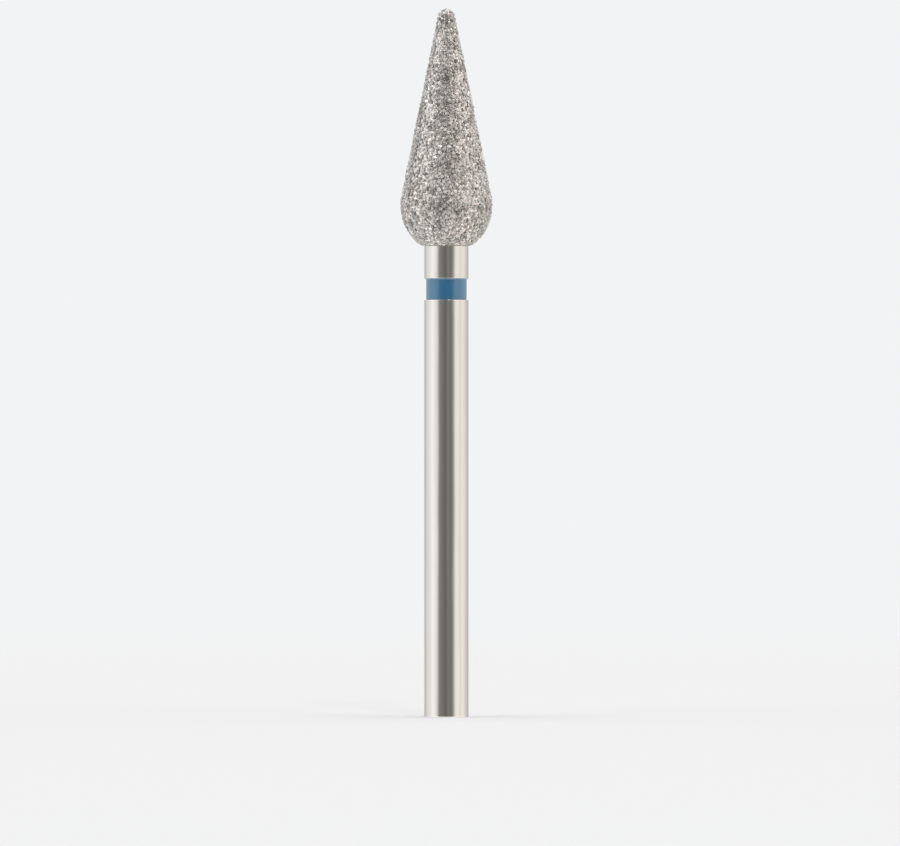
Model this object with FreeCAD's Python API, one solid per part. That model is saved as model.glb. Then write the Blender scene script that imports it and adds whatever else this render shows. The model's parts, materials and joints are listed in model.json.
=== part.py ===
import FreeCAD, Part
import math
import os
import random

# Drop-shaped diamond bur on a straight handpiece shank.
# The shank's flat end stands at the origin and the tip points up, along +Z. Sizes are in millimetres.
# Three pieces: the steel blank, turned from one bar, the lacquer ring in its groove, and the plated coat of
# nickel and diamond crystals on its head.

# Shank, ring groove and neck
shank_diameter = 2.35  # the standard size that a straight handpiece's collet grips
shank_length = 22.19  # from the end face to the ring groove
end_chamfer = 0.06
groove_width = 1.14
groove_depth = 0.17
lip_chamfer = 0.07  # breaks both edges of the groove
neck_length = 1.77  # from the ring groove to the shoulder, where the head starts

# Colour-code ring
ring_thickness = 0.08  # at the middle of the band
ring_crown = 0.02  # how much thinner the lacquer is at the band's edges

# Head, measured over the crystals
head_diameter = 4.9
head_length = 12.6  # from the shoulder to the tip
tip_radius = 0.475
heel_radius = 2.66  # the rounded lower end of the drop

# Plated coat
coat_thickness = 0.13  # steel to the highest crystal points
bond_thickness = 0.06  # steel to the nickel between the crystals
coat_overrun = 0.06  # how far the plating runs down over the neck
crystal_pitch = 0.215  # spacing of the skin's corners, which are crystal points or nickel
crystal_share = 0.5  # share of those corners that are crystal points
crystal_spread = 0.35  # how much of a crystal's height varies from one to the next
placing_spread = 0.22  # how far a corner may lie off its even place, as a share of the pitch
scatter_seed = 5
core_face_count = 48  # short faces keep the core's curve exact to a small part of the coat's thickness

# Heights and radii that follow from the sizes
shank_radius = shank_diameter / 2
groove_radius = shank_radius - groove_depth
groove_bottom = shank_length
groove_top = groove_bottom + groove_width
shoulder_height = groove_top + neck_length
coat_edge_height = shoulder_height - coat_overrun
tip_height = shoulder_height + head_length

# The drop's outline is a heel arc, a straight flank and a tip arc, each tangent to the next. Every layer of the
# head keeps the two arcs' centres and the flank's direction, and differs only in the arcs' radii.
core_heel_radius = heel_radius - coat_thickness
core_tip_radius = tip_radius - coat_thickness
heel_centre_radius = head_diameter / 2 - heel_radius
heel_centre_height = shoulder_height + math.sqrt(
    core_heel_radius**2 - (shank_radius - heel_centre_radius) ** 2
)
tip_centre_height = tip_height - tip_radius
centre_distance = math.hypot(heel_centre_radius, tip_centre_height - heel_centre_height)
flank_length = math.sqrt(centre_distance**2 - (heel_radius - tip_radius) ** 2)
flank_angle = math.asin((heel_radius - tip_radius) / centre_distance) + math.asin(
    heel_centre_radius / centre_distance
)  # from the horizontal to the flank's normal


def on_heel(layer, angle):
    """Radius and height on the heel arc of the layer that lies that far above the steel."""
    arc_radius = core_heel_radius + layer
    return (
        heel_centre_radius + arc_radius * math.cos(angle),
        heel_centre_height + arc_radius * math.sin(angle),
    )


def on_tip(layer, angle):
    """Radius and height on the tip arc of the layer that lies that far above the steel."""
    arc_radius = core_tip_radius + layer
    return arc_radius * math.cos(angle), tip_centre_height + arc_radius * math.sin(angle)


def heel_start_angle(layer, height):
    """The angle at which a layer's heel arc passes a height near the shoulder."""
    return math.asin((height - heel_centre_height) / (core_heel_radius + layer))


# How long the outline's arcs are over the coat, from its edge to the tip
coat_start_angle = heel_start_angle(coat_thickness, coat_edge_height)
heel_run = heel_radius * (flank_angle - coat_start_angle)
tip_run = tip_radius * (math.pi / 2 - flank_angle)


def in_plane(radius_and_height):
    """A point of the outline, which is drawn in the XZ plane."""
    radius, height = radius_and_height
    return FreeCAD.Vector(radius, 0, height)


def chain(points):
    """Straight edges from each point to the next."""
    return [Part.LineSegment(a, b).toShape() for a, b in zip(points, points[1:])]


def turned(edges, face_count=1):
    """The solid that a closed outline sweeps in one turn about the bur's axis, in that many equal sectors."""
    centre, axis = FreeCAD.Vector(0, 0, 0), FreeCAD.Vector(0, 0, 1)
    step = 360 / face_count
    sector = Part.Face(Part.Wire(edges)).revolve(centre, axis, step)
    others = [sector.rotated(centre, axis, step * number) for number in range(1, face_count)]
    return sector.multiFuse(others) if others else sector


def shaft():
    """Shank, ring groove and neck."""
    corners = [
        (0, 0),
        (shank_radius - end_chamfer, 0),
        (shank_radius, end_chamfer),
        (shank_radius, groove_bottom - lip_chamfer),
        (shank_radius - lip_chamfer, groove_bottom),
        (groove_radius, groove_bottom),
        (groove_radius, groove_top),
        (shank_radius - lip_chamfer, groove_top),
        (shank_radius, groove_top + lip_chamfer),
        (shank_radius, shoulder_height),
        (0, shoulder_height),
        (0, 0),
    ]
    return turned(chain([in_plane(corner) for corner in corners]))


def head_core():
    """The steel drop under the coat, from the shoulder to the tip."""
    heel_start = heel_start_angle(0, shoulder_height)
    heel = Part.Arc(
        in_plane(on_heel(0, heel_start)),
        in_plane(on_heel(0, (heel_start + flank_angle) / 2)),
        in_plane(on_heel(0, flank_angle)),
    )
    tip = Part.Arc(
        in_plane(on_tip(0, flank_angle)),
        in_plane(on_tip(0, (flank_angle + math.pi / 2) / 2)),
        in_plane(on_tip(0, math.pi / 2)),
    )
    foot = in_plane((0, shoulder_height))
    flank = Part.LineSegment(heel.EndPoint, tip.StartPoint)
    axis = Part.LineSegment(tip.EndPoint, foot)
    base = Part.LineSegment(foot, heel.StartPoint)
    outline = [curve.toShape() for curve in (heel, flank, tip, axis, base)]
    return turned(outline, core_face_count)


def colour_ring():
    """The lacquer band. It fills the groove's width, bulges a little and lies below the shank's surface."""
    edge_radius = groove_radius + ring_thickness - ring_crown
    lower_edge = in_plane((edge_radius, groove_bottom))
    crown = in_plane((groove_radius + ring_thickness, (groove_bottom + groove_top) / 2))
    upper_edge = in_plane((edge_radius, groove_top))
    floor = [in_plane((groove_radius, height)) for height in (groove_top, groove_bottom)]
    surface = Part.Arc(lower_edge, crown, upper_edge).toShape()
    return turned([surface] + chain([upper_edge, *floor, lower_edge]))


def along_skin(distance):
    """Where that distance up the drop's outline leads, from the coat's edge: how far along the flank from the
    heel arc (0) to the tip arc (1), and the angle of the surface's normal."""
    if distance < heel_run:
        return 0.0, coat_start_angle + distance / heel_radius
    if distance < heel_run + flank_length:
        return (distance - heel_run) / flank_length, flank_angle
    return 1.0, flank_angle + (distance - heel_run - flank_length) / tip_radius


def skin_point(distance, turn, layer):
    """A point at that distance up the outline, turned about the axis, that far above the steel."""
    mix, angle = along_skin(distance)
    low_radius, low_height = on_heel(layer, angle)
    high_radius, high_height = on_tip(layer, angle)
    radius = low_radius + (high_radius - low_radius) * mix
    height = low_height + (high_height - low_height) * mix
    return FreeCAD.Vector(radius * math.cos(turn), radius * math.sin(turn), height)


def corner_layer(scatter):
    """The height of one corner of the skin: a crystal point, or the nickel between crystals."""
    if scatter.random() > crystal_share:
        return bond_thickness
    proud = coat_thickness - bond_thickness
    return coat_thickness - proud * crystal_spread * scatter.random()


def skin_rings():
    """Rings of corners from the coat's edge to just below the tip."""
    scatter = random.Random(scatter_seed)
    length = heel_run + flank_length + tip_run
    ring_count = round(length / crystal_pitch)
    spacing = length / ring_count
    rings = []
    for number in range(ring_count):
        distance = number * spacing
        radius = math.hypot(*skin_point(distance, 0, coat_thickness)[:2])
        corner_count = max(5, round(2 * math.pi * radius / crystal_pitch))
        step = 2 * math.pi / corner_count
        ring = []
        for corner in range(corner_count):
            turn = step * (corner + number % 2 / 2)
            if number == 0:  # the edge over the neck stays level and at full thickness
                ring.append(skin_point(distance, turn, coat_thickness))
                continue
            slip = placing_spread * scatter.uniform(-spacing, spacing)
            turn += placing_spread * scatter.uniform(-step, step)
            ring.append(skin_point(distance + slip, turn, corner_layer(scatter)))
        rings.append(ring)
    return rings


def zipped(lower, upper):
    """Triangles that close the gap between two rings of corner numbers, whatever their counts."""
    triangles = []
    low, high = 0, 0
    while low < len(lower) or high < len(upper):
        here = lower[low % len(lower)]
        above = upper[high % len(upper)]
        low_turn = (low + 1) / len(lower)
        high_turn = (high + 1) / len(upper)
        if high >= len(upper) or (low < len(lower) and low_turn <= high_turn):
            triangles.append((here, lower[(low + 1) % len(lower)], above))
            low += 1
        else:
            triangles.append((here, upper[(high + 1) % len(upper)], above))
            high += 1
    return triangles


def fan(ring, centre):
    """Triangles from each side of a ring of corner numbers to one centre point."""
    return [(ring[n], ring[(n + 1) % len(ring)], centre) for n in range(len(ring))]


def diamond_coat(blank):
    """Nickel and crystals, plated on in one layer: a faceted skin, hollowed by the steel that it grew on."""
    corners = []
    numbered = []
    for ring in skin_rings():
        numbered.append(list(range(len(corners), len(corners) + len(ring))))
        corners += ring
    top = len(corners)
    corners.append(FreeCAD.Vector(0, 0, tip_height))
    bottom = len(corners)
    corners.append(FreeCAD.Vector(0, 0, coat_edge_height))
    triangles = fan(numbered[0][::-1], bottom) + fan(numbered[-1], top)
    for lower, upper in zip(numbered, numbered[1:]):
        triangles += zipped(lower, upper)
    skin = Part.Shape()
    skin.makeShapeFromMesh((corners, triangles), 1e-4)
    return Part.Solid(skin).cut(blank)


os.makedirs("parts", exist_ok=True)
blank = shaft().fuse(head_core())
pieces = {
    "steel_blank": blank,
    "colour_ring": colour_ring(),
    "diamond_coat": diamond_coat(blank),
}
for name, shape in pieces.items():
    shape.exportStep(f"parts/{name}.step")
    print(name, "valid" if shape.isValid() else "NOT VALID", f"{shape.Volume:.3f} mm3")
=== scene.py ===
# %% [markdown]
# # A diamond bur
#
# A diamond bur is a grinding tool for a dental handpiece. It has a ground steel shank, a blue lacquer ring
# that stands for medium grit, and a drop-shaped head covered in diamond crystals that are held by plated
# nickel.
#
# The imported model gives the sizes. Its three parts are plain and coarse, so pieces with the same outline and
# the detail that the eye expects from near replace them here: turned edges, a lacquer bead, and thousands of
# separate crystals in a skin of nickel.

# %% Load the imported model
import json
import math
import random

import bpy
from mathutils import Matrix, Vector, kdtree, noise


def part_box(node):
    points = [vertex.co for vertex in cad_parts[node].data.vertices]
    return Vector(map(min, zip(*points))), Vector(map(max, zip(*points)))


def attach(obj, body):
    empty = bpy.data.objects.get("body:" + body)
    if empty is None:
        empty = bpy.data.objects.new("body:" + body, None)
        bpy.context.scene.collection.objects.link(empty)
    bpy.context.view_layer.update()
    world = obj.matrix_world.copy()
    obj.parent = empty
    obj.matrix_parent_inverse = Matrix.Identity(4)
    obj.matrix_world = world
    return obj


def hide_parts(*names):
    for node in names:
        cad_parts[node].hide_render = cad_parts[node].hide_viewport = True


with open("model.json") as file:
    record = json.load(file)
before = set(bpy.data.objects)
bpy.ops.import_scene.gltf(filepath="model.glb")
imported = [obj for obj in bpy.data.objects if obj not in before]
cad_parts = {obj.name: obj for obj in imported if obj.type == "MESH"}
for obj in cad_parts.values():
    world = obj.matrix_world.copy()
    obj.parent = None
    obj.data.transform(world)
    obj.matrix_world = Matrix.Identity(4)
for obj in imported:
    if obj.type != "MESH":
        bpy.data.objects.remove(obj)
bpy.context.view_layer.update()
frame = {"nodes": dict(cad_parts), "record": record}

# %% [markdown]
# ## Sizes
#
# Blender counts in metres and a bur is a few centimetres long, so small sizes are written in millimetres and
# multiplied by `mm`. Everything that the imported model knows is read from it: where the ring and the coat lie,
# and the shank's radius, which the model states as the part that a collet grips. Only what no box can tell is
# written down here.

# %% Sizes
mm = 0.001

ring_low, ring_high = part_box("colour_ring")
coat_low, coat_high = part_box("diamond_coat")
shank_mount = next(m for m in frame["record"]["mounts"] if m["name"] == "shank")

shank_radius = shank_mount["dims"]["r_mm"] * mm
groove_bottom, groove_top = ring_low.z, ring_high.z
ring_radius = ring_high.x
groove_depth = 0.17 * mm
groove_radius = shank_radius - groove_depth
lip_rounding = 0.03 * mm
end_rounding = 0.06 * mm

coat_thickness = 0.13 * mm  # steel to the highest crystal points
bond_thickness = 0.06 * mm  # steel to the nickel between the crystals
coat_overrun = 0.06 * mm  # how far the plating runs down over the neck
crystal_size = 0.17 * mm  # medium grit is 107 to 126 micrometres, drawn larger here so that it shows
head_radius = 2.45 * mm
tip_radius = 0.475 * mm
heel_radius = 2.66 * mm
tip_height = coat_high.z
coat_edge_height = coat_low.z
shoulder_height = coat_edge_height + coat_overrun

print("shank", round(2 * shank_radius / mm, 3), "mm across, groove", round(groove_bottom / mm, 2), "to",
      round(groove_top / mm, 2), "mm up, head", round((tip_height - coat_edge_height) / mm, 2), "mm long")

# %% [markdown]
# ## Small helpers for materials
#
# Colours are easiest to write as web hex values, which are sRGB. Blender's shaders work in linear light, so
# one function turns a hex value into the linear numbers that a socket wants.
#
# The second helper adds one node, sets what it is told to and links what it is given. With it, a material
# reads from top to bottom as the list of nodes that it is. Most sockets go by their names. Where a node has
# several sockets of one name they go by number: a Mix node's two colours are inputs 6 and 7, and the mixed
# colour is output 2.
#
# The third starts a material with no nodes in it.

# %% Helpers for colours and nodes
def linear(hex_colour):
    """Linear red, green, blue and alpha of an sRGB hex colour."""
    channels = [int(hex_colour[n:n + 2], 16) / 255 for n in (1, 3, 5)]
    return [c / 12.92 if c <= 0.04045 else ((c + 0.055) / 1.055) ** 2.4 for c in channels] + [1.0]


def add_node(tree, kind, inputs=(), **settings):
    """One new node. Each input is a value to set or another node's socket to link."""
    made = tree.nodes.new(kind)
    for name, value in settings.items():
        setattr(made, name, value)
    for name, value in dict(inputs).items():
        if isinstance(value, bpy.types.NodeSocket):
            tree.links.new(value, made.inputs[name])
        else:
            made.inputs[name].default_value = value
    return made


def new_material(name):
    """An empty material and its node tree."""
    material = bpy.data.materials.new(name)
    material.use_nodes = True
    material.node_tree.nodes.clear()
    return material, material.node_tree


print("white is", linear("#ffffff"))

# %% [markdown]
# ## The camera
#
# The bur is seen straight from the side, from so far away that its edges look parallel: the shank's end shows
# as a straight line. A long lens does that. The image is 900 pixels wide and 846 high. In it the tip touches
# row `tip_row`, the shank's end stands on row `end_row`, and the axis runs down column `axis_column`. The
# distance between the two rows gives the scale, and the scale gives the lens.

# %% Camera
image_width, image_height = 900, 846
tip_row, end_row, axis_column = 8.6, 716.8, 446.4
camera_distance = 0.5

pixels_per_metre = (end_row - tip_row) / tip_height
camera_data = bpy.data.cameras.new("long_lens")
camera_data.sensor_width = 36
camera_data.lens = pixels_per_metre * camera_distance * camera_data.sensor_width / image_width
camera = bpy.data.objects.new("camera", camera_data)
camera.location = (
    (image_width / 2 - axis_column) / pixels_per_metre,
    -camera_distance,
    (end_row - image_height / 2) / pixels_per_metre,
)
camera.rotation_euler = (math.radians(90), 0, 0)
bpy.context.scene.collection.objects.link(camera)
bpy.context.scene.camera = camera
print("lens", round(camera_data.lens), "mm, scale", round(pixels_per_metre * mm, 2), "pixels per mm")

# %% [markdown]
# ## Light for a shiny cylinder
#
# A polished cylinder has no look of its own: it shows a squeezed picture of the room. A point of it that
# faces 20 degrees to the side mirrors what stands 40 degrees to the side. Photographers of small steel tools
# put the camera in a dark gap between two large soft boxes, and that is why such tools have a dark stripe
# with a bright band on each side. It shows at once that the shank is round.
#
# In Blender, the world is that room. `arctan2` turns the direction of a ray into its bearing, which is zero
# towards the camera, and a colour ramp gives the brightness of each bearing. A ramp's colours stop at 1, so
# the levels are stored at half strength, and the light is turned up again at the end.

# %% Soft boxes round the bur
bearing_stops = {  # bearing in degrees, negative to the left: brightness
    -180: 0.50, -160: 0.56, -140: 0.75, -121: 1.00, -104: 1.12, -75: 1.34, -63: 1.24, -52: 1.07, -46: 0.83,
    -41: 0.50, -36: 0.33, -25: 0.26, -9: 0.20, -2: 0.20, 4: 0.25, 10: 0.29, 20: 0.24, 27: 0.27, 33: 0.38,
    38: 0.56, 43: 0.88, 48: 1.15, 55: 1.24, 66: 1.21, 78: 1.10, 92: 1.22, 108: 1.13, 127: 0.85, 160: 0.58,
    180: 0.50,
}
stored = 0.5  # share of each level that the ramps hold

world = bpy.data.worlds.new("studio")
bpy.context.scene.world = world
world.use_nodes = True
tree = world.node_tree
tree.nodes.clear()
ray = add_node(tree, "ShaderNodeTexCoord")
way = add_node(tree, "ShaderNodeSeparateXYZ", {0: ray.outputs["Generated"]})
to_camera = add_node(tree, "ShaderNodeMath", {0: way.outputs["Y"], 1: -1.0}, operation="MULTIPLY")
bearing = add_node(tree, "ShaderNodeMath", {0: way.outputs["X"], 1: to_camera.outputs[0]},
                   operation="ARCTAN2")
share_of_turn = add_node(tree, "ShaderNodeMapRange", {"Value": bearing.outputs[0], "From Min": -math.pi,
                         "From Max": math.pi})
boxes = add_node(tree, "ShaderNodeValToRGB", {"Fac": share_of_turn.outputs["Result"]})
ramp = boxes.color_ramp
ramp.interpolation = "EASE"
while len(ramp.elements) < len(bearing_stops):
    ramp.elements.new(0.5)
for element, (degrees, level) in zip(ramp.elements, sorted(bearing_stops.items())):
    element.position = (degrees + 180) / 360
    element.color = [level * stored] * 3 + [1]
print("the room has", len(bearing_stops), "brightness stops round the horizon")

# %% [markdown]
# ## Above and below the boxes
#
# Higher up and lower down the room is more even. A second ramp gives its brightness at each elevation, and
# its alpha tells how far the even room takes over from the boxes. Deep below it is bright, which lights the
# rounded heel of the head and the edge of the lacquer. Just under the horizon it is dimmer: a shank that is
# seen from above mirrors that part, and would turn plain white if it were bright.

# %% Even room above and below
tiers = {  # elevation in degrees: brightness of the even room there, and its share against the soft boxes
    -90: (0.50, 1.0), -78: (0.70, 0.9), -66: (1.45, 0.8), -54: (1.65, 0.8), -42: (1.10, 0.65),
    -32: (0.95, 0.75), -24: (0.95, 0.4), -14: (1.80, 0.0), 46: (1.40, 0.0), 66: (1.40, 1.0), 90: (1.50, 1.0),
}
box_gain = 1.5  # the boxes are that much brighter above and below the bur's own height
gain_start, gain_end = 0.12, 0.5  # the sines of the elevations between which they brighten
left_cloth, right_cloth = "#ffffff", "#fffcf8"  # the right box has the warmer cloth

rise = add_node(tree, "ShaderNodeMath", {0: way.outputs["Z"]}, operation="ARCSINE")
storey = add_node(tree, "ShaderNodeMapRange", {"Value": rise.outputs[0], "From Min": -math.pi / 2,
                  "From Max": math.pi / 2})
even_room = add_node(tree, "ShaderNodeValToRGB", {"Fac": storey.outputs["Result"]})
ramp = even_room.color_ramp
while len(ramp.elements) < len(tiers):
    ramp.elements.new(0.5)
for element, (degrees, (level, share)) in zip(ramp.elements, sorted(tiers.items())):
    element.position = (degrees + 90) / 180
    element.color = [level * stored] * 3 + [share]
off_level = add_node(tree, "ShaderNodeMath", {0: way.outputs["Z"]}, operation="ABSOLUTE")
gain = add_node(tree, "ShaderNodeMapRange", {"Value": off_level.outputs[0], "From Min": gain_start,
                "From Max": gain_end, "To Min": 1.0, "To Max": box_gain}, interpolation_type="SMOOTHSTEP")
lifted = add_node(tree, "ShaderNodeVectorMath", {0: boxes.outputs["Color"], "Scale": gain.outputs["Result"]},
                  operation="SCALE")
room = add_node(tree, "ShaderNodeMix", {"Factor": even_room.outputs["Alpha"], 6: lifted.outputs["Vector"],
                7: even_room.outputs["Color"]}, data_type="RGBA")
sideways = add_node(tree, "ShaderNodeMapRange", {"Value": way.outputs["X"], "From Min": -0.5,
                    "From Max": 0.5})
warmth = add_node(tree, "ShaderNodeMix", {"Factor": sideways.outputs["Result"], 6: linear(left_cloth),
                  7: linear(right_cloth)}, data_type="RGBA")
tinted = add_node(tree, "ShaderNodeMix", {"Factor": 1.0, 6: room.outputs[2], 7: warmth.outputs[2]},
                  data_type="RGBA", blend_type="MULTIPLY")
print("the room has", len(tiers), "tiers from floor to ceiling")

# %% [markdown]
# ## A lamp and a backdrop
#
# One small lamp hangs in front, high enough that the upright shank never mirrors it into the lens. Only a
# crystal that happens to face half-way between the lens and the lamp does, and it flashes. The lamp is a disc
# with a soft edge: a dot product tells how near a ray's direction is to the lamp's, and a map range turns
# that into brightness.
#
# Rays from the camera itself see none of this. They see a plain pale backdrop.

# %% Lamp and backdrop
backdrop_colour = "#f2f3f4"
lamp_bearing, lamp_elevation = math.radians(14), math.radians(52)
lamp_radius = math.radians(5)
lamp_fade = 0.2  # share of the radius over which its edge fades, inwards and outwards
lamp_level = 10

lamp_way = (
    math.sin(lamp_bearing) * math.cos(lamp_elevation),
    -math.cos(lamp_bearing) * math.cos(lamp_elevation),
    math.sin(lamp_elevation),
)
nearness = add_node(tree, "ShaderNodeVectorMath", {0: ray.outputs["Generated"], 1: lamp_way},
                    operation="DOT_PRODUCT")
lamp = add_node(tree, "ShaderNodeMapRange", {"Value": nearness.outputs["Value"],
                "From Min": math.cos((1 + lamp_fade) * lamp_radius),
                "From Max": math.cos((1 - lamp_fade) * lamp_radius), "To Max": lamp_level * stored})
lit = add_node(tree, "ShaderNodeVectorMath", {0: tinted.outputs[2], 1: lamp.outputs["Result"]},
               operation="ADD")
light = add_node(tree, "ShaderNodeBackground", {"Color": lit.outputs["Vector"], "Strength": 1 / stored})
backdrop = add_node(tree, "ShaderNodeBackground", {"Color": linear(backdrop_colour), "Strength": 1.0})
path = add_node(tree, "ShaderNodeLightPath")
seen = add_node(tree, "ShaderNodeMixShader", {0: path.outputs["Is Camera Ray"], 1: light.outputs[0],
                2: backdrop.outputs[0]})
add_node(tree, "ShaderNodeOutputWorld", {"Surface": seen.outputs[0]})
print("the lamp hangs", round(math.degrees(lamp_elevation)), "degrees up")

# %% [markdown]
# ## The floor
#
# The bur stands on a matt white surface. Near the bur it is an ordinary diffuse floor, so it takes a soft
# shadow and lights the heel of the head from below. Further out it fades into the backdrop's own colour, so
# no horizon shows behind the bur.
#
# Rays that steel or nickel mirror pass through the floor to the room below it, whose tiers were chosen for
# them. Their reflections then change smoothly, with no line where a floor would end.

# %% Floor
floor_radius = 3.0
rim_corners = 64
fade_start, fade_end = 0.03, 0.30

floor_mesh = bpy.data.meshes.new("floor")
rim = [(floor_radius * math.cos(a), floor_radius * math.sin(a), 0)
       for a in (2 * math.pi * n / rim_corners for n in range(rim_corners))]
floor_mesh.from_pydata(rim, [], [list(range(rim_corners))])
floor = bpy.data.objects.new("floor", floor_mesh)
bpy.context.scene.collection.objects.link(floor)

white_board, tree = new_material("matt_white_board")
spot = add_node(tree, "ShaderNodeNewGeometry")
from_bur = add_node(tree, "ShaderNodeVectorMath", {0: spot.outputs["Position"]}, operation="LENGTH")
fade = add_node(tree, "ShaderNodeMapRange", {"Value": from_bur.outputs["Value"], "From Min": fade_start,
                "From Max": fade_end}, interpolation_type="SMOOTHSTEP")
board = add_node(tree, "ShaderNodeBsdfDiffuse", {"Color": linear("#d9dadc")})
far = add_node(tree, "ShaderNodeEmission", {"Color": linear(backdrop_colour), "Strength": 1.0})
both = add_node(tree, "ShaderNodeMixShader", {0: fade.outputs["Result"], 1: board.outputs[0],
                2: far.outputs[0]})
path = add_node(tree, "ShaderNodeLightPath")
open_floor = add_node(tree, "ShaderNodeBsdfTransparent")
either = add_node(tree, "ShaderNodeMixShader", {0: path.outputs["Is Glossy Ray"], 1: both.outputs[0],
                  2: open_floor.outputs[0]})
add_node(tree, "ShaderNodeOutputMaterial", {"Surface": either.outputs[0]})
floor_mesh.materials.append(white_board)
print("floor", 2 * floor_radius, "m across")

# %% [markdown]
# ## Turning on a lathe
#
# The shank, the ring and the steel under the coat are all turned, so one function makes them all: it takes
# half of the outline as pairs of radius and height, and sweeps it round the axis. A screw modifier would do
# this too. The mesh is written out here because the nickel layer will move its corners one by one later on.
#
# Turned steel never has a knife edge. `rounded` replaces one corner of an outline by a short curve, and that
# curve is what catches the light at the groove and at the shank's end.

# %% Lathe
columns = 192


def lathe(name, outline, columns=columns, closed=False):
    """A mesh of revolution, closed if its outline starts and ends on the axis or is itself closed."""
    corners, rings = [], []
    turns = [2 * math.pi * n / columns for n in range(columns)]
    for radius, height in outline:
        ring = [(radius * math.cos(turn), radius * math.sin(turn), height)
                for turn in (turns if radius > 0 else turns[:1])]
        rings.append([len(corners) + n for n in range(len(ring))])
        corners += ring
    faces = []
    for lower, upper in zip(rings, rings[1:] + (rings[:1] if closed else [])):
        for n in range(columns):
            m = (n + 1) % columns
            if len(lower) == 1:
                faces.append((lower[0], upper[m], upper[n]))
            elif len(upper) == 1:
                faces.append((lower[n], lower[m], upper[0]))
            else:
                faces.append((lower[n], lower[m], upper[m], upper[n]))
    mesh = bpy.data.meshes.new(name)
    mesh.from_pydata(corners, [], faces)
    mesh.shade_smooth()
    return mesh


def rounded(before, corner, after, reach, steps=4):
    """A curve that cuts a corner off. One more point on each side of it keeps the walls' shading straight."""
    back = (before - corner).normalized() * reach
    ahead = (after - corner).normalized() * reach
    bend = [corner + back * (1 - n / steps) ** 2 + ahead * (n / steps) ** 2 for n in range(steps + 1)]
    return [corner + back * 1.3, *bend, corner + ahead * 1.3]


print("the lathe sweeps an outline in", columns, "columns")

# %% [markdown]
# ## The outline of the head
#
# The head is a long drop: a round heel, a straight flank and a small round tip, each tangent to the next. The
# steel inside, the nickel and the points of the crystals all follow this same outline at their own heights
# above the steel. So it is written once, as a function of the distance along the outline and the height above
# the steel. It also gives the direction that points straight out, which the crystals need.

# %% Outline of the head
core_heel_radius = heel_radius - coat_thickness
heel_centre = Vector((head_radius - heel_radius, shoulder_height + math.sqrt(
    core_heel_radius ** 2 - (shank_radius - head_radius + heel_radius) ** 2)))
tip_centre = Vector((0, tip_height - tip_radius))
centre_line = tip_centre - heel_centre
flank_angle = math.asin((heel_radius - tip_radius) / centre_line.length) + math.asin(
    heel_centre.x / centre_line.length)
flank_length = math.sqrt(centre_line.length ** 2 - (heel_radius - tip_radius) ** 2)


def heel_start(layer, height):
    """The angle at which a layer's heel passes a height near the shoulder."""
    return math.asin((height - heel_centre.y) / (core_heel_radius + layer))


coat_start = heel_start(coat_thickness, coat_edge_height)
heel_run = heel_radius * (flank_angle - coat_start)
tip_run = tip_radius * (math.pi / 2 - flank_angle)
outline_length = heel_run + flank_length + tip_run


def on_head(distance, layer):
    """Radius and height of a point on the head, and the angle from the horizontal of its way straight out."""
    mix = min(max((distance - heel_run) / flank_length, 0), 1)
    angle = flank_angle
    if mix == 0:
        angle = coat_start + distance / heel_radius
    elif mix == 1:
        angle = flank_angle + (distance - heel_run - flank_length) / tip_radius
    out = Vector((math.cos(angle), math.sin(angle)))
    low = heel_centre + out * (core_heel_radius + layer)
    high = tip_centre + out * (tip_radius - coat_thickness + layer)
    return low.lerp(high, mix), angle


print("the head's outline is", round(outline_length / mm, 2), "mm long")

# %% [markdown]
# ## Ground stainless steel
#
# The blank is martensitic stainless steel, ground between wheels until it is round to a few micrometres. Its
# scratches are too fine to see one by one. They run round the shank, a few hundredths of a millimetre apart,
# and they smear the reflections along the axis, while across it the bands stay crisp. Their height here is
# drawn a little stronger than it is, because true grinding marks would be finer than a pixel.
#
# The wheels also leave the shank a very little wavy, in waves about one millimetre wide and several long,
# which bend the bands' edges. Steel is a metal, so its colour tints the reflections: a warm light grey. Long
# streaks of slightly different tone and roughness keep the bands from looking like printed stripes.

# %% Ground stainless steel
scratch_spacing = 0.04 * mm
scratch_height = 0.002 * mm
wave_height = 0.02 * mm
scratch_scale = (0.15 / mm, 0.15 / mm, 1 / scratch_spacing)  # about 7 mm long, round the shank
streak_scale = (4 / mm, 4 / mm, 0.08 / mm)  # 0.25 mm wide and 12.5 mm long, along the shank
wave_scale = (1.1 / mm, 1.1 / mm, 0.22 / mm)  # 0.9 mm wide and 4.5 mm long

ground_steel, tree = new_material("ground_stainless_steel")
spot = add_node(tree, "ShaderNodeTexCoord")
flat_round = add_node(tree, "ShaderNodeMapping", {"Vector": spot.outputs["Object"], "Scale": scratch_scale})
scratches = add_node(tree, "ShaderNodeTexNoise", {"Vector": flat_round.outputs[0], "Scale": 1.0,
                     "Detail": 3.0})
long_ways = add_node(tree, "ShaderNodeMapping", {"Vector": spot.outputs["Object"], "Scale": streak_scale})
streaks = add_node(tree, "ShaderNodeTexNoise", {"Vector": long_ways.outputs[0], "Scale": 1.0, "Detail": 2.0})
tone = add_node(tree, "ShaderNodeMix", {"Factor": streaks.outputs["Fac"], 6: linear("#ccc8c3"),
                7: linear("#dcd9d5")}, data_type="RGBA")
rough = add_node(tree, "ShaderNodeMapRange", {"Value": streaks.outputs["Fac"], "To Min": 0.08,
                 "To Max": 0.14})
wave_ways = add_node(tree, "ShaderNodeMapping", {"Vector": spot.outputs["Object"], "Scale": wave_scale})
waves = add_node(tree, "ShaderNodeTexNoise", {"Vector": wave_ways.outputs[0], "Scale": 1.0, "Detail": 1.0})
lobes = add_node(tree, "ShaderNodeBump", {"Height": waves.outputs["Fac"], "Strength": 1.0,
                 "Distance": wave_height})
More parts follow.
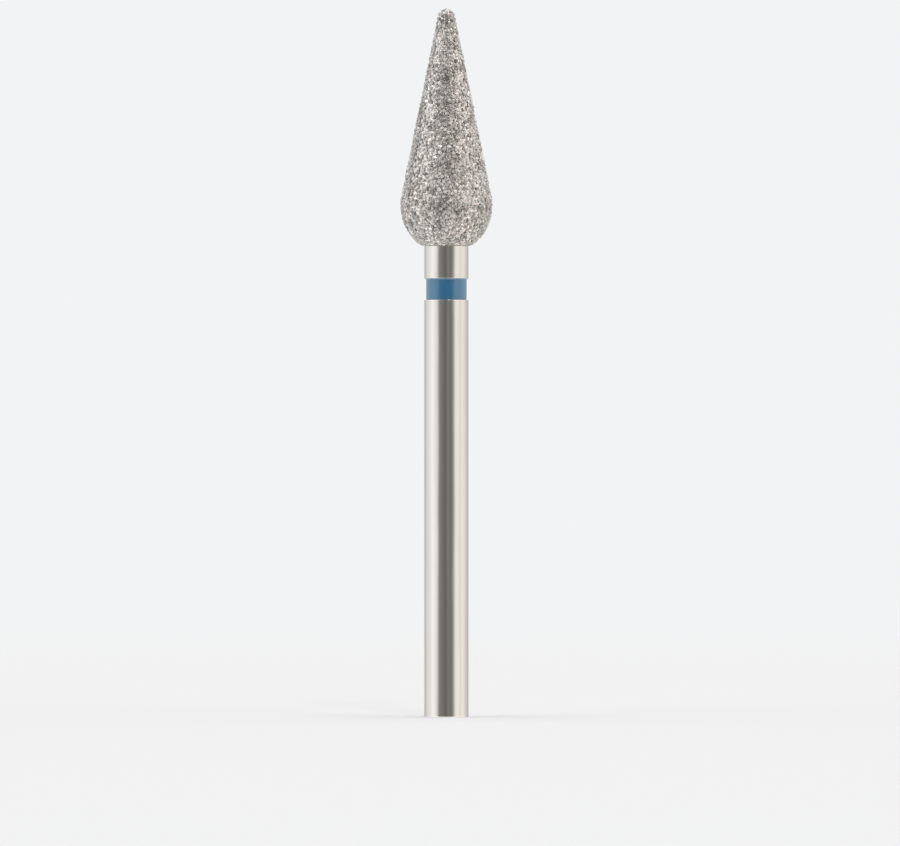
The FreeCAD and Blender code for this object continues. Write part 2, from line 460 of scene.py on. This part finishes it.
relief = add_node(tree, "ShaderNodeBump", {"Height": scratches.outputs["Fac"], "Strength": 0.12,
                  "Distance": scratch_height, "Normal": lobes.outputs["Normal"]})
steel = add_node(tree, "ShaderNodeBsdfPrincipled", {"Base Color": tone.outputs[2], "Metallic": 1.0,
                 "Roughness": rough.outputs["Result"], "Normal": relief.outputs["Normal"]})
add_node(tree, "ShaderNodeOutputMaterial", {"Surface": steel.outputs[0]})
print("steel scratches", round(scratch_spacing / mm, 3), "mm apart")

# %% [markdown]
# ## Placing a piece
#
# A mesh shows only when an object carries it. `place` makes that object, gives it a material, hangs it on
# the body of the model that it moves with, and hides the imported part that it stands in for. Nothing on a bur
# moves, so every piece rides on the one body, the root.

# %% Placing a piece
def place(mesh, material, replaces):
    """Puts a finished mesh in the scene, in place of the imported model's node."""
    piece = bpy.data.objects.new(mesh.name, mesh)
    bpy.context.scene.collection.objects.link(piece)
    mesh.materials.append(material)
    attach(piece, "root")
    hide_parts(replaces)
    print(mesh.name, "has", sum(len(face.vertices) - 2 for face in mesh.polygons), "triangles")
    return piece


print("packed parts to stand in for:", *sorted(frame["nodes"]))

# %% [markdown]
# ## The steel blank
#
# One bar gives the shank, the ring's groove, the neck and the core of the head. The outline runs from the
# centre of the end face, out over its broken edge, up the shank, through the groove and on over the head to
# the tip. The core is hidden under the coat, but it costs little and keeps the blank whole.

# %% Steel blank
shaft_corners = [Vector(p) for p in (
    (0, 0),
    (shank_radius, 0),
    (shank_radius, groove_bottom),
    (groove_radius, groove_bottom),
    (groove_radius, groove_top),
    (shank_radius, groove_top),
    (shank_radius, shoulder_height),
)]
core_start = heel_run * (heel_start(0, shoulder_height) - coat_start) / (flank_angle - coat_start)
core_steps = 60
core_outline = [on_head(core_start + (outline_length - core_start) * n / core_steps, 0)[0]
                for n in range(core_steps)]
core_tip = Vector((0, tip_height - coat_thickness))

blank_outline = [shaft_corners[0]]
for n, reach in [(1, end_rounding), (2, lip_rounding), (3, 0), (4, 0), (5, lip_rounding)]:
    if reach:
        blank_outline += rounded(shaft_corners[n - 1], shaft_corners[n], shaft_corners[n + 1], reach)
    else:
        blank_outline.append(shaft_corners[n])
blank_outline += core_outline + [core_tip]
blank_mesh = lathe("steel_blank_turned", blank_outline)
blank_mesh.set_sharp_from_angle(angle=math.radians(30))
place(blank_mesh, ground_steel, "steel_blank")

# %% [markdown]
# ## Blue lacquer
#
# The ring is coloured epoxy lacquer, rolled into the groove and baked. It isn't a metal: under a clear,
# smooth surface lies a blue body that scatters light. So it is a dielectric with the refractive index of
# epoxy and a coat of the same index for the resin that floats on top. The pigment settles unevenly, which a
# soft noise shows, and the surface has the faint waviness of something that was rolled on wet.

# %% Blue lacquer
epoxy_ior = 1.57
cloud_scale = 1.6 / mm  # clouds of pigment a little over half a millimetre across

blue_lacquer, tree = new_material("baked_blue_lacquer")
spot = add_node(tree, "ShaderNodeTexCoord")
cloud = add_node(tree, "ShaderNodeTexNoise", {"Vector": spot.outputs["Object"], "Scale": cloud_scale,
                 "Detail": 3.0})
pigment = add_node(tree, "ShaderNodeMix", {"Factor": cloud.outputs["Fac"], 6: linear("#226489"),
                   7: linear("#2c6f95")}, data_type="RGBA")
waviness = add_node(tree, "ShaderNodeBump", {"Height": cloud.outputs["Fac"], "Strength": 0.2,
                    "Distance": 0.01 * mm})
lacquer = add_node(tree, "ShaderNodeBsdfPrincipled", {"Base Color": pigment.outputs[2], "Roughness": 0.15,
                   "IOR": epoxy_ior, "Coat Weight": 0.6, "Coat Roughness": 0.08, "Coat IOR": epoxy_ior,
                   "Normal": waviness.outputs["Normal"]})
add_node(tree, "ShaderNodeOutputMaterial", {"Surface": lacquer.outputs[0]})
print("the lacquer's refractive index is", epoxy_ior)

# %% [markdown]
# ## The lacquer ring
#
# Wet lacquer pulls itself into a flat bead, nearly level across. At its lower edge it rolls over. At the
# upper one it wets the groove's wall and creeps a little way out along it, in a hollow curve that mirrors the
# bright room below. The outline is a closed loop, so the sweep gives a closed ring.

# %% Lacquer ring
crown = 0.004 * mm  # how much lower the bead is at its edges than in the middle
edge_width, edge_drop = 0.08 * mm, 0.035 * mm  # of the lower edge's roll
creep_width, creep_height = 0.12 * mm, 0.06 * mm  # of the upper edge's creep up the wall
band_steps = 60

ring_outline = [Vector((groove_radius, groove_top)), Vector((groove_radius, groove_bottom))]
half_width = (groove_top - groove_bottom) / 2
for n in range(band_steps + 1):
    t = 2 * n / band_steps - 1
    rolled = max(0, 1 - half_width * (1 + t) / edge_width)
    crept = max(0, 1 - half_width * (1 - t) / creep_width)
    radius = ring_radius - crown * t ** 2 - edge_drop * rolled ** 2 + creep_height * crept ** 2
    ring_outline.append(Vector((radius, groove_bottom + half_width * (t + 1))))
ring_mesh = lathe("lacquer_ring", ring_outline, closed=True)
ring_mesh.set_sharp_from_angle(angle=math.radians(50))
place(ring_mesh, blue_lacquer, "colour_ring")

# %% [markdown]
# ## Where the crystals sit
#
# Before plating, the blank stands in a heap of loose crystals and the first nickel tacks down whichever ones
# touch it. So they lie at random, yet never in each other, and the layer is as full as chance lets it be.
# Throwing darts imitates that: each throw picks a spot on the head, and it stays only if no earlier crystal
# is too near. A grid of cubes with the spacing as their side makes the search quick, because only 27 cubes
# can hold a neighbour.
#
# A long drop has more surface at its belly than at its tip, so a throw counts only as often as its ring is
# wide. Towards the neck the coat thins out, so there the crystals sink a little.

# %% Places of the crystals
crystal_spacing = 0.19 * mm  # from centre to centre, at least
throws = 120000
scatter_seed = 20  # the same seed gives the same scatter in every run
seat_height = coat_thickness - 0.5 * crystal_size  # of a crystal's centre over the steel
seat_spread = 0.02  # millimetres by which a crystal may sit higher or lower
first_seat = 0.25 * crystal_size  # how far up the outline from the coat's edge
thin_edge, edge_sink = 0.3 * mm, 0.04 * mm  # how far up the crystals sink, and how much at the very edge

dice = random.Random(scatter_seed)

seats = [(Vector((0, 0, tip_height - coat_thickness + seat_height)), Vector((0, 0, 1)))]
grid = {}
for throw in range(throws):
    distance = dice.uniform(first_seat, outline_length)
    turn = dice.uniform(0, 2 * math.pi)
    layer = seat_height + dice.triangular(-seat_spread, seat_spread, 0) * mm
    layer -= edge_sink * max(0, 1 - distance / thin_edge)
    (radius, height), angle = on_head(distance, layer)
    if dice.random() > radius / head_radius:
        continue
    around = Vector((math.cos(turn), math.sin(turn), 0))
    seat = Vector((0, 0, height)) + around * radius
    cube = tuple(int(c // crystal_spacing) for c in seat)
    near = [other for x in (-1, 0, 1) for y in (-1, 0, 1) for z in (-1, 0, 1)
            for other in grid.get((cube[0] + x, cube[1] + y, cube[2] + z), ())]
    if all((seat - other).length > crystal_spacing for other in near):
        grid.setdefault(cube, []).append(seat)
        seats.append((seat, around * math.cos(angle) + Vector((0, 0, math.sin(angle)))))
print(len(seats), "crystals")

# %% [markdown]
# ## The nickel skin
#
# The nickel has grown up round the crystals to about half their height. It is matt and a little nodular. Its
# skin is a lathe mesh whose corners are then moved: noise makes the nodules, and near a crystal the metal
# climbs, as it does when it grows against something that doesn't conduct.

# %% Nickel skin
nickel_rows, nickel_columns = 250, 300
nodule_size = 0.1 * mm
nodule_height = 0.034 * mm
collar_reach = 0.075 * mm
collar_height = 0.012 * mm

seat_tree = kdtree.KDTree(len(seats))
for number, (seat, out) in enumerate(seats):
    seat_tree.insert(seat, number)
seat_tree.balance()

skin_outline = [on_head(outline_length * n / nickel_rows, bond_thickness)[0] for n in range(nickel_rows)]
skin_tip = Vector((0, tip_height - coat_thickness + bond_thickness))
coat_foot = Vector((shank_radius, coat_edge_height))
nickel_outline = [core_tip] + core_outline[::-1] + [coat_foot] + skin_outline + [skin_tip]
nickel_mesh = lathe("plated_nickel", nickel_outline, nickel_columns)
first_skin_corner = 1 + (core_steps + 1) * nickel_columns
for corner in nickel_mesh.vertices[first_skin_corner:]:
    at = corner.co
    lift = nodule_height * noise.noise(at / nodule_size)
    away = seat_tree.find(at)[2]
    lift += collar_height * max(0, 1 - away / collar_reach) - collar_height / 2
    # straight out from the flank, and near enough straight out elsewhere
    slope = Vector((at.x, at.y, 0)).normalized() + Vector((0, 0, math.tan(flank_angle)))
    corner.co = at + slope.normalized() * lift
print("the nickel's nodules are", round(nodule_size / mm, 2), "mm across")

# %% [markdown]
# ## Matt plated nickel
#
# Nickel is a metal, greyer and a little yellower than steel. Straight from the bath it is rough on the scale
# of a few micrometres, which no mesh needs to hold, so the material's roughness and a fine bump do that. The
# bump's grains are drawn at 20 micrometres, because finer ones wouldn't show.
#
# Nodules that catch the light lie beside others in the crystals' shade. That light and shade is painted into
# the metal's colour: it is spotted, at the nodules' own size, between a shaded and a lit tone of nickel. The
# noise seldom leaves the middle of its range, and a map range spreads that middle over both tones.

# %% Matt plated nickel
grain_size = 0.02 * mm
grain_height = 0.004 * mm

nickel, tree = new_material("matt_plated_nickel")
spot = add_node(tree, "ShaderNodeTexCoord")
nodules = add_node(tree, "ShaderNodeTexNoise", {"Vector": spot.outputs["Object"], "Scale": 1 / nodule_size,
                   "Detail": 4.0})
grains = add_node(tree, "ShaderNodeTexNoise", {"Vector": spot.outputs["Object"], "Scale": 1 / grain_size,
                  "Detail": 2.0})
# painted light and shade: the nickel's colour runs from a shaded to a lit tone, nodule by nodule
painted_nodule_light_and_shade = add_node(tree, "ShaderNodeMapRange", {"Value": nodules.outputs["Fac"], "From Min": 0.38,
                 "From Max": 0.62})
tone = add_node(tree, "ShaderNodeMix", {"Factor": painted_nodule_light_and_shade.outputs["Result"], 6: linear("#827a74"),
                7: linear("#efe7e1")}, data_type="RGBA")
rough = add_node(tree, "ShaderNodeMapRange", {"Value": nodules.outputs["Fac"], "To Min": 0.30,
                 "To Max": 0.45})
relief = add_node(tree, "ShaderNodeBump", {"Height": grains.outputs["Fac"], "Strength": 0.5,
                  "Distance": grain_height})
metal = add_node(tree, "ShaderNodeBsdfPrincipled", {"Base Color": tone.outputs[2], "Metallic": 1.0,
                 "Roughness": rough.outputs["Result"], "Normal": relief.outputs["Normal"]})
add_node(tree, "ShaderNodeOutputMaterial", {"Surface": metal.outputs[0]})
place(nickel_mesh, nickel, "diamond_coat")

# %% [markdown]
# ## The shape of one crystal
#
# Synthetic diamond for grinding is grown as small blocky crystals: a cube whose corners are cut off so far
# that its squares and triangles meet at their points. That solid has 12 corners, 6 squares and 8 triangles.
#
# Every face looks in one of 14 directions: along an axis, or towards a corner of the cube. The corners that
# reach furthest in a direction are the corners of its face, and their angles round it put them in order.

# %% One crystal
block_corners = [Vector(p) for p in [(x, y, 0) for x in (-1, 1) for y in (-1, 1)]
                 + [(x, 0, z) for x in (-1, 1) for z in (-1, 1)]
                 + [(0, y, z) for y in (-1, 1) for z in (-1, 1)]]
ways_out = [Vector(p) for p in [(s, 0, 0) for s in (-1, 1)] + [(0, s, 0) for s in (-1, 1)]
            + [(0, 0, s) for s in (-1, 1)]
            + [(x, y, z) for x in (-1, 1) for y in (-1, 1) for z in (-1, 1)]]
block_faces = []
for way_out in ways_out:
    most = max(corner.dot(way_out) for corner in block_corners)
    face = [n for n, corner in enumerate(block_corners) if corner.dot(way_out) > most - 0.01]
    start = block_corners[face[0]]
    side = (start - way_out * start.dot(way_out) / way_out.length_squared).normalized()
    up = way_out.cross(side).normalized()
    face.sort(key=lambda n: math.atan2(block_corners[n].dot(up), block_corners[n].dot(side)))
    block_faces.append(face)
print("a crystal has", len(block_corners), "corners and", len(block_faces), "faces")

# %% [markdown]
# ## Thousands of crystals
#
# A crystal that falls on the steel comes to rest on one of its faces, so the opposite face looks straight
# out. Most of the head therefore mirrors the room much as a smooth drop would, and the slanting faces scatter
# bright flakes over its dark middle. Each crystal here lies on a face of its own choice, tilted and stretched
# a little, with its corners nudged, and about half of it is sunk in the nickel.
#
# All crystals share one mesh. Each carries its own tone in an attribute of the mesh, which the material
# reads. Part of the tone is chance, as in a real batch. The rest comes from noise, in small patches and in
# larger ones, because crystals of like tone seem to gather.

# %% Diamond crystals
widest_tilt = 26  # degrees
least_size, most_size = 0.88, 1.06  # against the crystal size
longest = 1.3  # stretch along one side
nudge = 0.07  # of a corner, against its distance from the middle
patches = {0.25 * mm: 1.3, 0.7 * mm: 0.7}  # size of the patches: their strength
patch_share = 0.6

corners, faces, tones = [], [], []
for seat, out in seats:
    side = out.cross(Vector([dice.gauss(0, 1) for axis in range(3)])).normalized()
    stand = dice.choice(ways_out).rotation_difference(out).to_matrix()
    spin = Matrix.Rotation(dice.uniform(0, 2 * math.pi), 3, out)
    tilt = Matrix.Rotation(math.radians(dice.uniform(-widest_tilt, widest_tilt)), 3, side)
    size = crystal_size / 2 * dice.uniform(least_size, most_size)
    length = dice.uniform(1.0, longest)
    draw_out = Matrix.Scale(length, 3, side) @ Matrix.Scale(1 / math.sqrt(length), 3, out)
    first = len(corners)
    for corner in block_corners:
        local = Vector([size * c * dice.uniform(1 - nudge, 1 + nudge) for c in corner])
        corners.append(seat + draw_out @ tilt @ spin @ stand @ local)
    faces += [[first + n for n in face] for face in block_faces]
    patch = 0.5 + sum(strength * noise.noise(seat / across) for across, strength in patches.items())
    tones.append((1 - patch_share) * dice.random() + patch_share * patch)
crystal_mesh = bpy.data.meshes.new("diamond_crystals")
crystal_mesh.from_pydata(corners, [], faces)
tone_layer = crystal_mesh.attributes.new("crystal_tone", "FLOAT", "POINT")
tone_layer.data.foreach_set("value", [tone for tone in tones for corner in block_corners])
print("tones from", round(min(tones), 2), "to", round(max(tones), 2))

# %% [markdown]
# ## Cloudy diamond
#
# Diamond bends light more than any other clear stone, so its faces mirror strongly. Grit diamond is full of
# flaws that make it cloudy: some light passes through to the nickel, and the rest is scattered back inside,
# grey in the dark crystals and nearly white in the pale ones. Grown faces are smooth, but not polished.

# %% Cloudy diamond
diamond, tree = new_material("synthetic_diamond")
batch = add_node(tree, "ShaderNodeAttribute", attribute_name="crystal_tone")
tint = add_node(tree, "ShaderNodeValToRGB", {"Fac": batch.outputs["Fac"]})
for element, colour in zip(tint.color_ramp.elements, ("#6e6862", "#fbf5f0")):
    element.color = linear(colour)
gem = add_node(tree, "ShaderNodeBsdfPrincipled", {"Base Color": tint.outputs["Color"], "Roughness": 0.10,
               "IOR": 2.417, "Transmission Weight": 0.3})
add_node(tree, "ShaderNodeOutputMaterial", {"Surface": gem.outputs[0]})
place(crystal_mesh, diamond, "diamond_coat")

# %% [markdown]
# ## The view transform
#
# Colours leave the render through Blender's Standard view transform.

# %% View transform
bpy.context.scene.view_settings.view_transform = "Standard"
